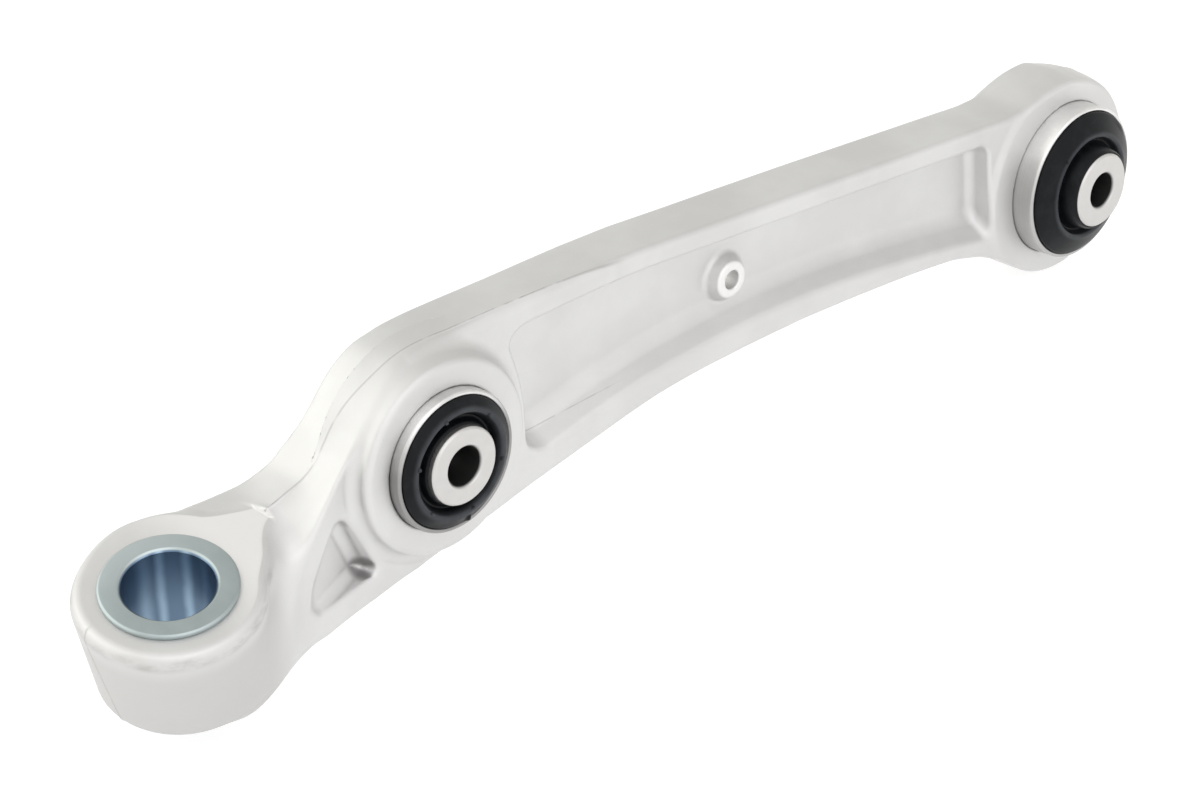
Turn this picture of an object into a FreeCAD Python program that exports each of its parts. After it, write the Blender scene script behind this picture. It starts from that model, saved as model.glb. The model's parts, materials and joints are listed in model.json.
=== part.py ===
"""Forged lower control arm with a knuckle sleeve and two rubber bushes.

Frame, in millimetres: the origin is the centre of the knuckle sleeve's bore, +X runs to
the centre of the inner bush, +Y is the direction of both bush axes, away from the open
side of the web boss, and +Z is up.  The arm's middle plane is Y = 0.
"""
import FreeCAD, Part
import math
import os

V = FreeCAD.Vector

# ---- arm layout ---------------------------------------------------------------------
ARM_LENGTH = 381.5          # knuckle sleeve centre to inner bush centre
DAMPER_X = 89.0             # damper bush centre along the arm
DAMPER_Y = -3.2             # damper bush centre in front of the middle plane
DAMPER_Z = 21.8             # damper bush centre above the line between the ends
BEAM_WIDTH = 21.0           # forging width along Y between the eyes
BEAM_ROUND = 2.5            # rounding of the beam's long edges
EYE_EDGE_ROUND = 1.25       # rounding of the edges of both bush eyes

# ---- knuckle end --------------------------------------------------------------------
SLEEVE_LEAN_X = 5.3         # lean of the sleeve axis back along the arm, degrees
SLEEVE_LEAN_Y = 12.1        # lean of the sleeve axis towards the front, degrees
SLEEVE_LENGTH = 37.0
SLEEVE_BORE_R = 13.0
SLEEVE_WALL = 3.6
FLANGE_R = 19.6
FLANGE_THICK = 1.6
SLEEVE_CHAMFER = 0.8
EYE_TOP_R = 27.0
EYE_BOTTOM_R = 24.0
EYE_ROUND = 3.0
FACE_MARGIN = 1.5           # machined face left round the flange
FACE_CUT_HEIGHT = 30.0      # how far the machining clears the metal above that face

# ---- neck between the knuckle eye and the damper bush ---------------------------------
NECK_START_X = 33.0         # where the neck's top leaves the machined face
NECK_BEND_X = 48.0          # where it turns up
NECK_BEND_RISE = 7.0
NECK_TOP_X = 76.0           # where it levels out beside the damper bush
NECK_TOP_DROP = 5.0
NECK_WIDE_X = 10.8          # where it is widest, inside the knuckle eye
NECK_EYE_HALF = 22.0        # half width there
NECK_HALF = 13.5            # half width at the small pocket
NECK_POCKET_DEPTH = 6.0
NECK_POCKET_LOW_Z = -8.5
NECK_POCKET_HEIGHT = 25.0
NECK_POCKET_LENGTH = 26.0
NECK_POCKET_GAP = 3.5       # metal between the pocket and the damper boss
NECK_POCKET_ROUND = 3.5
NECK_POCKET_FLOOR_ROUND = 2.0

# ---- beam ---------------------------------------------------------------------------
BEAM_TOP_Z = 54.6           # top edge above the damper bush
BEAM_BEND_X = 170.0         # where the gently crowned top becomes straight
BEAM_BEND_Z = 52.3
BEAM_CROWN = 0.7            # how far the top swells between the damper bush and the bend
BEAM_REACH = 0.6            # the beam stops this share of the eye's radius short of its centre
BEAM_TOP_END_Z = 30.6       # top edge where it meets the inner eye
BEAM_UNDER_START_Z = -12.4  # lower edge under the damper bush
BEAM_UNDER_ARCH = 17.0      # how far it arches above the line between its two ends
BEAM_UNDER_END_Z = -19.6    # lower edge where it meets the inner eye
RIM = 7.3                   # width of the rims round the pockets
WEB = 4.0                   # thickness of the web between the pockets
POCKET_ROUND = 7.0
POCKET_FLOOR_ROUND = 3.0
POCKET_END_GAP = 4.0        # metal between the pocket and the inner eye

# ---- web boss -----------------------------------------------------------------------
WEB_BOSS_X = 219.0
WEB_BOSS_Z = 22.5
WEB_BOSS_BASE_R = 8.5
WEB_BOSS_TOP_R = 6.0
WEB_BOSS_HEIGHT = 4.5
WEB_HOLE_R = 3.15

# ---- damper bush --------------------------------------------------------------------
BOLT_HOLE_R = 6.1           # for an M12 bolt, in both bushes
DAMPER_SLEEVE_R = 12.2
DAMPER_SLEEVE_LENGTH = 43.6
DAMPER_CAN_R = 22.0
DAMPER_CAN_LENGTH = 36.0
DAMPER_PAD_R = 30.0
DAMPER_PAD_WIDTH = 28.6

# ---- inner bush ---------------------------------------------------------------------
INNER_SLEEVE_R = 13.2
INNER_SLEEVE_LENGTH = 58.0
INNER_CAN_R = 27.3
INNER_CAN_LENGTH = 39.0
INNER_EYE_R = 34.2
INNER_EYE_WIDTH = 23.0
SHOULDER_RISE = 0.4         # the flat shoulder on top of the inner eye, above its round
SHOULDER_HALF = 13.0
SHOULDER_SLOPE = 6.5        # length of the slope from the beam's top up to it
SHOULDER_SINK = 1.0         # the slope starts this far below the beam's top
SHOULDER_ROOT = 12.0        # how far its root runs back into the beam
SHOULDER_PAST = 2.0         # how far it runs past the bush centre

# ---- shared by both bushes ------------------------------------------------------------
CAN_WALL = 1.5
CAN_CHAMFER = 0.4
BUSH_CHAMFER = 0.8
BULGE = 2.0                 # the inner sleeves are thicker in the middle, inside the rubber
BULGE_LENGTH = 16.0
TWIST_CLEARANCE = 0.02      # rubber to inner sleeve, which turns in it
LIP_GROOVE = 2.5            # depth of the ring groove in each rubber face
LIP_PROUD = 1.2             # the rubber's ridge stands out of the can by this much
# where the ridge and the groove lie, as shares of the rubber's width from the outside in
RIDGE_FROM = 0.25
RIDGE_TO = 0.5
GROOVE_FROM = 0.65
GROOVE_TO = 0.85

# ---- picking edges by where they lie ---------------------------------------------------
EDGE_SLACK = 1.0
SAME_PLACE = 1e-4
PARALLEL = 0.999

DAMPER_CENTRE = V(DAMPER_X, DAMPER_Y, DAMPER_Z)
INNER_CENTRE = V(ARM_LENGTH, 0, 0)


def sleeve_axis():
    """Unit vector of the knuckle sleeve's axis, towards its flange."""
    lean_x = math.radians(SLEEVE_LEAN_X)
    lean_y = math.radians(SLEEVE_LEAN_Y)
    return V(-math.sin(lean_x) * math.cos(lean_y),
             -math.sin(lean_y),
             math.cos(lean_x) * math.cos(lean_y))


def outline(start, steps):
    """Closed wire in the XZ plane.  A step is (end,) for a line or (middle, end) for an arc."""
    edges = []
    here = V(start[0], 0, start[1])
    for step in steps:
        there = V(step[-1][0], 0, step[-1][1])
        if len(step) == 1:
            edges.append(Part.LineSegment(here, there).toShape())
        else:
            middle = V(step[0][0], 0, step[0][1])
            edges.append(Part.Arc(here, middle, there).toShape())
        here = there
    return Part.Wire(edges)


def plate(wire, half_width):
    """Prism of an XZ wire, centred on the middle plane."""
    face = Part.Face(wire)
    face.translate(V(0, -half_width, 0))
    return face.extrude(V(0, 2 * half_width, 0))


def turned(profile, base, axis):
    """Solid of revolution.  The profile's points are (radius, distance along the axis)."""
    points = [V(radius, 0, along) for radius, along in profile]
    ring = Part.Face(Part.makePolygon(points + [points[0]]))
    solid = ring.revolve(V(0, 0, 0), V(0, 0, 1), 360)
    solid.Placement = FreeCAD.Placement(base, FreeCAD.Rotation(V(0, 0, 1), axis))
    return solid


def round_edges(solid, radius, wanted):
    """Rounds the edges that the test function accepts."""
    return solid.makeFillet(radius, [edge for edge in solid.Edges if wanted(edge)])


def along_y(edge):
    direction = edge.Vertexes[-1].Point.sub(edge.Vertexes[0].Point)
    if direction.Length < SAME_PLACE:
        return False
    return abs(direction.normalize().y) > PARALLEL


def on_plane_y(y):
    """Test for edges that lie on the plane Y = y."""
    def wanted(edge):
        box = edge.BoundBox
        return abs(box.YMin - y) < SAME_PLACE and abs(box.YMax - y) < SAME_PLACE
    return wanted


def beam_ends():
    """Left and right ends of the beam, inside the damper boss and the inner eye."""
    return DAMPER_X, ARM_LENGTH - BEAM_REACH * INNER_EYE_R


def beam_side():
    """Side outline of the beam: crowned and then straight on top, arched below."""
    left, right = beam_ends()
    crown = (0.5 * (left + BEAM_BEND_X), 0.5 * (BEAM_TOP_Z + BEAM_BEND_Z) + BEAM_CROWN)
    arch = (0.5 * (left + right),
            0.5 * (BEAM_UNDER_START_Z + BEAM_UNDER_END_Z) + BEAM_UNDER_ARCH)
    return outline((left, BEAM_TOP_Z), [
        (crown, (BEAM_BEND_X, BEAM_BEND_Z)),
        ((right, BEAM_TOP_END_Z),),
        ((right, BEAM_UNDER_END_Z),),
        (arch, (left, BEAM_UNDER_START_Z)),
        ((left, BEAM_TOP_Z),)])


def beam():
    solid = plate(beam_side(), BEAM_WIDTH / 2)
    front = on_plane_y(-BEAM_WIDTH / 2)
    back = on_plane_y(BEAM_WIDTH / 2)
    return round_edges(solid, BEAM_ROUND, lambda edge: front(edge) or back(edge))


def beam_pocket(side):
    """Cutter for the long pocket on one side: -1 is the front, 1 is the back."""
    field = Part.Face(beam_side().makeOffset2D(-RIM))
    start = DAMPER_X
    end = ARM_LENGTH - INNER_EYE_R - POCKET_END_GAP
    tall = 4 * BEAM_TOP_Z
    window = Part.makePlane(end - start, tall, V(start, 0, -tall / 2),
                            V(0, -1, 0), V(1, 0, 0))
    keep_off = Part.Face(Part.Wire(Part.makeCircle(
        DAMPER_PAD_R + POCKET_END_GAP, V(DAMPER_X, 0, DAMPER_Z), V(0, 1, 0))))
    face = field.common(window).cut(keep_off).Faces[0]
    reach = BEAM_WIDTH
    floor = side * WEB / 2
    face.translate(V(0, floor, 0))
    solid = face.extrude(V(0, side * reach, 0))
    solid = round_edges(solid, POCKET_ROUND, along_y)
    return round_edges(solid, POCKET_FLOOR_ROUND, on_plane_y(floor))


def neck():
    """Wedge that carries the knuckle eye, wide at the eye and as wide as the beam."""
    eye_half = SLEEVE_LENGTH / 2
    side = outline((0, -eye_half), [
        ((0, eye_half - FLANGE_THICK),),
        ((NECK_START_X, eye_half),),
        ((NECK_BEND_X, eye_half + NECK_BEND_RISE),),
        ((NECK_TOP_X, BEAM_TOP_Z - NECK_TOP_DROP),),
        ((DAMPER_X, BEAM_TOP_Z),),
        ((DAMPER_X, BEAM_UNDER_START_Z),),
        ((NECK_START_X, -eye_half),),
        ((0, -eye_half),)])
    front_side = [V(NECK_WIDE_X, -NECK_EYE_HALF, 0), V(NECK_BEND_X, -NECK_HALF, 0),
                  V(DAMPER_X, -BEAM_WIDTH / 2, 0)]
    back_side = [V(point.x, -point.y, 0) for point in reversed(front_side)]
    plan = Part.Face(Part.makePolygon(front_side + back_side + front_side[:1]))
    plan.translate(V(0, 0, -2 * BEAM_TOP_Z))
    wedge = plate(side, EYE_TOP_R).common(plan.extrude(V(0, 0, 4 * BEAM_TOP_Z)))
    top = [edge for edge in wedge.Edges
           if edge.BoundBox.XMin > NECK_START_X - EDGE_SLACK
           and edge.BoundBox.XMax < NECK_TOP_X + EDGE_SLACK
           and edge.BoundBox.ZMin > 0 and edge.BoundBox.YLength < NECK_HALF]
    return wedge.makeFillet(BEAM_ROUND, top)


def neck_pocket(side):
    """Cutter for the small three-cornered pocket beside the damper bush."""
    right = DAMPER_X - DAMPER_PAD_R + NECK_POCKET_GAP
    left = right - NECK_POCKET_LENGTH
    peak = 0.5 * (left + right)
    low = NECK_POCKET_LOW_Z
    points = [V(left, 0, low), V(peak, 0, low + NECK_POCKET_HEIGHT), V(right, 0, low)]
    face = Part.Face(Part.makePolygon(points + [points[0]]))
    floor = side * (NECK_HALF - NECK_POCKET_DEPTH)
    face.translate(V(0, floor, 0))
    solid = face.extrude(V(0, side * EYE_TOP_R, 0))
    solid = round_edges(solid, NECK_POCKET_ROUND, along_y)
    return round_edges(solid, NECK_POCKET_FLOOR_ROUND, on_plane_y(floor))


def knuckle_eye():
    """Drafted round eye about the sleeve axis, with rounded rims."""
    top = SLEEVE_LENGTH / 2 - FLANGE_THICK
    bottom = -SLEEVE_LENGTH / 2
    solid = turned([(0, bottom), (EYE_BOTTOM_R, bottom), (EYE_TOP_R, top), (0, top)],
                   V(0, 0, 0), sleeve_axis())
    rims = [edge for edge in solid.Edges if isinstance(edge.Curve, Part.Circle)]
    return solid.makeFillet(EYE_ROUND, rims)


def boss(centre, radius, width, rounding):
    """Round eye along Y."""
    solid = Part.makeCylinder(radius, width, centre - V(0, width / 2, 0), V(0, 1, 0))
    rims = [edge for edge in solid.Edges if isinstance(edge.Curve, Part.Circle)]
    return solid.makeFillet(rounding, rims)


def inner_shoulder():
    """Flat-topped shoulder where the beam's top edge meets the inner eye."""
    top = INNER_EYE_R + SHOULDER_RISE
    left = ARM_LENGTH - SHOULDER_HALF
    right = ARM_LENGTH + SHOULDER_PAST
    foot = left - SHOULDER_SLOPE
    root = foot - SHOULDER_ROOT
    side = outline((root, 0), [
        ((foot, BEAM_TOP_END_Z - SHOULDER_SINK),),
        ((left, top),),
        ((right, top),),
        ((right, 0),),
        ((root, 0),)])
    return plate(side, BEAM_WIDTH / 2)


def web_boss():
    face = WEB / 2 + WEB_BOSS_HEIGHT
    return Part.makeCone(WEB_BOSS_BASE_R, WEB_BOSS_TOP_R, face,
                         V(WEB_BOSS_X, 0, WEB_BOSS_Z), V(0, -1, 0))


def arm_forging():
    body = beam()
    body = body.fuse(neck())
    body = body.fuse(knuckle_eye())
    body = body.fuse(inner_shoulder())
    body = body.fuse(boss(INNER_CENTRE, INNER_EYE_R, INNER_EYE_WIDTH, EYE_EDGE_ROUND))
    for side in (-1, 1):
        body = body.cut(beam_pocket(side))
        body = body.cut(neck_pocket(side))
    body = body.fuse(boss(DAMPER_CENTRE, DAMPER_PAD_R, DAMPER_PAD_WIDTH, EYE_EDGE_ROUND))
    body = body.fuse(web_boss())
    axis = sleeve_axis()
    long_cut = 3 * SLEEVE_LENGTH
    body = body.cut(Part.makeCylinder(
        SLEEVE_BORE_R + SLEEVE_WALL, long_cut, axis * (-long_cut / 2), axis))
    # clears the neck's metal from above the machined face that the flange sits on
    face_cut = SLEEVE_LENGTH / 2 - FLANGE_THICK
    body = body.cut(Part.makeCylinder(
        FLANGE_R + FACE_MARGIN, FACE_CUT_HEIGHT, axis * face_cut, axis))
    for centre, radius in ((DAMPER_CENTRE, DAMPER_CAN_R), (INNER_CENTRE, INNER_CAN_R),
                           (V(WEB_BOSS_X, 0, WEB_BOSS_Z), WEB_HOLE_R)):
        start = centre - V(0, long_cut / 2, 0)
        body = body.cut(Part.makeCylinder(radius, long_cut, start, V(0, 1, 0)))
    return body.removeSplitter()


def knuckle_sleeve():
    end = SLEEVE_LENGTH / 2
    bore = SLEEVE_BORE_R
    body = SLEEVE_BORE_R + SLEEVE_WALL
    cut = SLEEVE_CHAMFER
    return turned([
        (bore, -end + cut), (bore + cut, -end), (body, -end), (body, end - FLANGE_THICK),
        (FLANGE_R, end - FLANGE_THICK), (FLANGE_R, end - cut), (FLANGE_R - cut, end),
        (bore + cut, end), (bore, end - cut)], V(0, 0, 0), sleeve_axis())


def bush_sleeve(centre, radius, length):
    """Inner sleeve with a bolt hole and a thicker middle."""
    end = length / 2
    cut = BUSH_CHAMFER
    hole = BOLT_HOLE_R
    return turned([
        (hole, -end + cut), (hole + cut, -end), (radius - cut, -end), (radius, -end + cut),
        (radius, -BULGE_LENGTH / 2), (radius + BULGE, -BULGE_LENGTH / 4),
        (radius + BULGE, BULGE_LENGTH / 4), (radius, BULGE_LENGTH / 2),
        (radius, end - cut), (radius - cut, end), (hole + cut, end), (hole, end - cut)],
        centre, V(0, 1, 0))


def bush_can(centre, radius, length):
    """Thin outer ring, chamfered at both ends."""
    end = length / 2
    inside = radius - CAN_WALL
    cut = CAN_CHAMFER
    return turned([
        (inside, -end), (radius - cut, -end), (radius, -end + cut), (radius, end - cut),
        (radius - cut, end), (inside, end)], centre, V(0, 1, 0))


def bush_rubber(centre, sleeve_r, can_r, length):
    """Rubber between the can and the inner sleeve, with a ring groove in each face."""
    outside = can_r - CAN_WALL
    inside = sleeve_r + TWIST_CLEARANCE
    width = outside - inside
    end = length / 2
    groove = end - LIP_GROOVE
    ridge = end + LIP_PROUD
    half_face = [(outside, end), (outside - RIDGE_FROM * width, ridge),
                 (outside - RIDGE_TO * width, ridge), (outside - GROOVE_FROM * width, groove),
                 (outside - GROOVE_TO * width, groove), (inside, ridge)]
    waist = [(inside, BULGE_LENGTH / 2), (inside + BULGE, BULGE_LENGTH / 4)]
    upper = half_face + waist
    lower = [(radius, -along) for radius, along in reversed(upper)]
    return turned(upper + lower, centre, V(0, 1, 0))


def parts():
    return {
        "arm_forging": arm_forging(),
        "knuckle_sleeve": knuckle_sleeve(),
        "damper_bush_can": bush_can(DAMPER_CENTRE, DAMPER_CAN_R, DAMPER_CAN_LENGTH),
        "damper_bush_rubber": bush_rubber(DAMPER_CENTRE, DAMPER_SLEEVE_R,
                                          DAMPER_CAN_R, DAMPER_CAN_LENGTH),
        "damper_bush_sleeve": bush_sleeve(DAMPER_CENTRE, DAMPER_SLEEVE_R,
                                          DAMPER_SLEEVE_LENGTH),
        "inner_bush_can": bush_can(INNER_CENTRE, INNER_CAN_R, INNER_CAN_LENGTH),
        "inner_bush_rubber": bush_rubber(INNER_CENTRE, INNER_SLEEVE_R,
                                         INNER_CAN_R, INNER_CAN_LENGTH),
        "inner_bush_sleeve": bush_sleeve(INNER_CENTRE, INNER_SLEEVE_R,
                                         INNER_SLEEVE_LENGTH)}


os.makedirs("parts", exist_ok=True)
for name, shape in parts().items():
    print(name, "valid", shape.isValid(), "solids", len(shape.Solids),
          "volume", round(shape.Volume, 1))
    shape.exportStep("parts/" + name + ".step")
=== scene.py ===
"""Looks of the forged control arm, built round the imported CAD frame.

Everything is drawn in millimetres in the CAD frame and written to Blender in metres.
"""
import json
import math
import bmesh
import bpy
import numpy as np
from mathutils import Matrix, Vector


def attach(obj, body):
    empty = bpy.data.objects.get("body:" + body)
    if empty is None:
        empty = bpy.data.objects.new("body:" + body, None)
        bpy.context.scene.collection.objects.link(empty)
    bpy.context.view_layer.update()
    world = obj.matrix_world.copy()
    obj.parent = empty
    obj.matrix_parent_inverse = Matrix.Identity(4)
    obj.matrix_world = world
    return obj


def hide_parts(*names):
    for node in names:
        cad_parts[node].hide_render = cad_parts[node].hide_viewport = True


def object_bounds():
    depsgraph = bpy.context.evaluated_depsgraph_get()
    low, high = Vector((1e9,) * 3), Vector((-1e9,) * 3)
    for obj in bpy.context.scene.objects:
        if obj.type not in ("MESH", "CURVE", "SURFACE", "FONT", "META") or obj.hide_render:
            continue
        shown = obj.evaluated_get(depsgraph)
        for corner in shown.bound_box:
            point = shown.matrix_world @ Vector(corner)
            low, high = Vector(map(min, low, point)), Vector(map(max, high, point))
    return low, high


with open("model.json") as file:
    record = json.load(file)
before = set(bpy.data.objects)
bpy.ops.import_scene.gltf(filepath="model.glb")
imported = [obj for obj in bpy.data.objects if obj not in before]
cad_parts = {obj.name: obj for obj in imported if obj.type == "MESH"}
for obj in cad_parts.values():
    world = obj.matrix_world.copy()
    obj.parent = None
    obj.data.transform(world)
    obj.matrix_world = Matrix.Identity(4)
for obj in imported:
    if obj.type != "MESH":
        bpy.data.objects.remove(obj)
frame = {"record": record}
cad_low, cad_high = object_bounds()

MM = 0.001

# ---- layout: the bushes sit where the frame's joints turn ----------------------------
joint_at = {joint["name"]: tuple(round(place / MM, 3) for place in joint["pos_m"])
            for joint in frame["record"]["behaviour"]["joints"]}
DAMPER = joint_at["damper_bush_twist"]
INNER = joint_at["inner_bush_twist"]
DAMPER_X, DAMPER_Z = DAMPER[0], DAMPER[2]
INNER_X = INNER[0]
ACROSS = (0, 1, 0)          # both bushes lie across the arm
SLEEVE_CENTRE = (0, 0, 0)
SLEEVE_AXIS = np.array([-0.090148, -0.209619, 0.973619])

# ---- sizes ---------------------------------------------------------------------------
SLEEVE_HALF = 18.5
SLEEVE_BORE_R = 13.0
SLEEVE_BODY_R = 16.6
FLANGE_R = 19.6
FLANGE_THICK = 1.6
CAN_WALL = 1.5
DAMPER_CAN_R, DAMPER_CAN_LENGTH = 22.0, 36.0
DAMPER_TUBE_R, DAMPER_TUBE_LENGTH = 12.2, 43.6
INNER_CAN_R, INNER_CAN_LENGTH = 27.3, 39.0
INNER_TUBE_R, INNER_TUBE_LENGTH = 13.2, 58.0
TUBE_BULGE = 2.0            # the bush tubes are thicker in the middle, inside the rubber
BULGE_FOOT, BULGE_TOP = 8.0, 4.0    # it starts and is full this far from the middle
BOLT_HOLE_R = 6.1
TURNING_GAP = 0.02          # rubber to tube
INNER_EYE_R = 34.2
BEAM_HALF = 10.5
BOSS_X, BOSS_Z = 219.4, 22.9
BOSS_R, BOSS_HOLE_R, BOSS_FACE_Y = 6.0, 3.15, -6.6


# ---- smooth joining of distances -----------------------------------------------------
def round_max(a, b, radius):
    """Larger of two distances, with the outside corner rounded to the radius."""
    return (np.minimum(-radius, np.maximum(a, b))
            + np.hypot(np.maximum(radius + a, 0), np.maximum(radius + b, 0)))


def round_min(a, b, radius):
    """Smaller of two distances, with the inside corner filled to the radius."""
    return -round_max(-a, -b, radius)


def ease(value, low, high):
    """0 at low, 1 at high, with a smooth turn between them."""
    t = np.clip((value - low) / (high - low), 0, 1)
    return t * t * (3 - 2 * t)


class Line:
    """A smooth curve through points along the arm, read by its X."""

    STEP = 0.1

    def __init__(self, points, softness):
        xs = [p[0] for p in points]
        self.x = np.arange(-60, 440, self.STEP)
        raw = np.interp(self.x, xs, [p[1] for p in points])
        reach = int(4 * softness / self.STEP)
        weights = np.exp(-0.5 * (np.arange(-reach, reach + 1) * self.STEP / softness) ** 2)
        padded = np.pad(raw, reach, mode="edge")
        self.value = np.convolve(padded, weights / weights.sum(), mode="valid")
        self.slope = np.gradient(self.value, self.STEP)

    def __call__(self, x):
        return np.interp(x, self.x, self.value)

    def rise(self, x):
        """Slope of the line at x."""
        return np.interp(x, self.x, self.slope)


# ---- lines of the forging, as (x, y) or (x, z) ---------------------------------------
# the dies part along the middle of the neck, and along the beam's front edge
PARTING_Y = Line([(-60, -0.8), (33, 0.8), (46, 0.2), (52, -0.8), (59, -2.7), (65, -4.2),
                  (71, -5.7), (77, -6.4), (85, -7.0), (103, -7.8), (121, -8.6),
                  (140, -9.3), (160, -10.0), (182, -10.5),
                  (350, -10.5), (392, 0), (440, 0)], 3.5)
# top of the arm along the parting ridge, then at its front and at its back edge
RIDGE_Z = Line([(-60, 10), (20, 19.8), (28, 20.9), (33, 21.3), (38, 22.0), (42, 23.3),
                (49.5, 25.8), (56.5, 32.0), (64, 39.4), (69, 44.4), (74, 49.2), (79, 52.8),
                (85, 54.7), (95, 55.6), (118, 55.3), (138, 54.5), (158, 53.4), (179, 51.6),
                (340, 33.6), (354, 32.0), (361, 32.2), (368, 33.2), (375, 33.8),
                (390, 33.6), (440, 33)], 1.6)
FRONT_Z = Line([(-60, -60), (18, -9.5), (26.3, 0.4), (31.7, 6.3), (36, 11), (44.4, 20),
                (52, 28.6), (58, 34.6), (63.4, 39.3), (71, 46.6), (76, 49.8), (80, 51.6),
                (87, 52.6), (98, 52.6), (118, 52.4), (138, 52.4), (158, 52.0), (168, 51.9),
                (179, 51.1), (340, 32.9), (354, 31.2), (359, 31.3), (366, 32.4),
                (386, 32.4), (440, 32.4)], 1.6)
BACK_Z = Line([(-60, 10), (4, 17.5), (10, 20.2), (16, 21.4), (22, 22.1), (29, 22.2),
               (36, 22.4), (42, 23.6), (48.4, 26.4), (53.3, 30.6), (59.5, 35.3),
               (64.4, 39.6), (71, 47.0), (76, 51.0), (81, 53.5), (90, 55.3), (100, 55.6),
               (110, 55.2), (129, 54.2), (150, 53.4), (160, 53.0), (181, 51.6),
               (203, 49.1), (225, 46.8), (260, 43.0), (284, 40.2), (309, 37.3),
               (335, 34.3), (348, 32.7), (361, 32.3), (368, 33.2), (375, 33.8),
               (390, 33.6), (440, 33)], 1.6)
UNDER_Z = Line([(-60, -20), (0, -17.8), (20, -17.2), (34, -16.9), (45, -16.4), (57, -16.2),
                (65, -16.1), (74, -15.4), (84, -14.9), (95, -13.4), (105, -12.2),
                (115.5, -10.4), (126, -8.6), (147, -5.7), (169, -2.7), (180, -1.5),
                (191, -1.0), (202, -0.9), (225, -1.5), (249, -2.7), (273.6, -5.0),
                (299, -7.8), (312, -9.6), (325, -11.6), (338.5, -15.7), (352, -22.4),
                (362, -28.5), (368, -31.5), (376, -33.0), (440, -33.0)], 2.5)
# how far the front and the back face stand from the middle plane
SIDE_Y = Line([(-60, 14), (30, 14.2), (43, 13.6), (52, 12.6), (60, 12.0), (72, 11.4),
               (89, 10.7), (100, BEAM_HALF), (440, BEAM_HALF)], 3.0)
BACK_Y = Line([(-60, 22), (8, 22.8), (15, 22.0), (22, 20.8), (29, 19.2), (36, 17.2),
               (43, 15.2), (50, 13.4), (57, 12.5),
               (65, 12.0), (80, 11.2), (100, BEAM_HALF), (440, BEAM_HALF)], 3.0)
# share of the knuckle eye's sideways lean that the underside follows
UNDER_LEAN = Line([(-60, 1), (36, 1), (72, 0), (440, 0)], 3.0)
LEAN = 0.2156
UNDER_CROWN = 0.03
TOP_TURN = 11.0             # the roof takes its outer edges' slope this far from the ridge
BEAM_FALL, NECK_FALL, BEAM_FALL_LESS = 0.42, 3.0, 0.15  # limits of the front slope
BAR_FROM_X, BAR_TO_X = 8.0, 387.0
NECK_END_X, EYE_START_X = 170, 385  # the parting ridge shows outside these two
# upper and lower edge of the long pocket
POCKET_TOP_Z = Line([(-60, 46), (120, 46.2), (133, 46.4), (158, 45.9), (179, 44.5),
                     (339, 26.6), (440, 15)], 2.0)
POCKET_LOW_Z = Line([(-60, -2), (122, -0.6), (138, 2.2), (155.6, 5.2), (177, 7.4),
                     (200, 8.1), (222.5, 7.9), (246, 6.4), (270, 3.7), (295, -0.4),
                     (311, -3.3), (326.6, -6.2), (345, -10), (440, -40)], 3.0)


def parting_at(x, z):
    """Y of the parting line, which stays in the middle on the underside."""
    return PARTING_Y(x) * ease(z, 0.0, 14.0)


def bar(x, y, z):
    """Neck and beam: a bar with a roof-shaped top that meets at the parting line."""
    parting = PARTING_Y(x)
    side, far_side = SIDE_Y(x), BACK_Y(x)
    ridge, front, back = RIDGE_Z(x), FRONT_Z(x), BACK_Z(x)
    front_fall = (ridge - front) / np.maximum(parting + side, 1.0)
    # the front slope is steep only in the neck
    most = BEAM_FALL + NECK_FALL * ease(x, 85, 60) - BEAM_FALL_LESS * ease(x, 110, 150)
    front_fall = np.minimum(front_fall, most)
    back_fall = (ridge - back) / (far_side - parting)
    lean = np.where(y < parting, front_fall, back_fall)
    top = ridge - lean * np.abs(y - parting)
    mix = np.clip(np.abs(y - parting) / TOP_TURN, 0, 1)
    rise = RIDGE_Z.rise(x) * (1 - mix) + np.where(y < parting, FRONT_Z.rise(x),
                                                  BACK_Z.rise(x)) * mix
    over = (z - top) / np.sqrt(1 + lean ** 2 + rise ** 2)
    tilt = LEAN * UNDER_LEAN(x)
    floor = UNDER_Z(x) + tilt * y + UNDER_CROWN * np.abs(y)
    under = (floor - z) / np.sqrt(1 + UNDER_Z.rise(x) ** 2 + tilt ** 2)
    long = np.maximum(over, under)
    return round_max(long, np.maximum(x - BAR_TO_X, BAR_FROM_X - x), 2.5)


EYE_TOP_H = 16.9            # machined face of the knuckle eye, along the sleeve axis
RAW_TOP_H = 18.1            # the forged top that was there before the cut
EYE_RIM = 5.4
EYE_R = 27.0
TAPER_FROM_H, TAPER_SPAN = 13.5, 32
EYE_TAPER = 2.9             # the foot is smaller in radius by this
EYE_SHIFT_X, EYE_SHIFT_Y = 2.0, 0.8     # and lies this far inboard and forward
FOOT_ROUND = 2.5
BACK_SWELL = 1.8            # the side away from the open web is fuller
BACK_SWELL_AT, BACK_SWELL_WIDE = 66, 36
BACK_RIM_LESS = 2.8         # and its rim is tighter
MILL_R = 38.4               # reach of the face cutter from the sleeve axis


def sleeve_frame(x, y, z):
    """Height along the sleeve axis, and the X, Y and Z of the offset from that axis."""
    h = x * SLEEVE_AXIS[0] + y * SLEEVE_AXIS[1] + z * SLEEVE_AXIS[2]
    return h, x - h * SLEEVE_AXIS[0], y - h * SLEEVE_AXIS[1], z - h * SLEEVE_AXIS[2]


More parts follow.
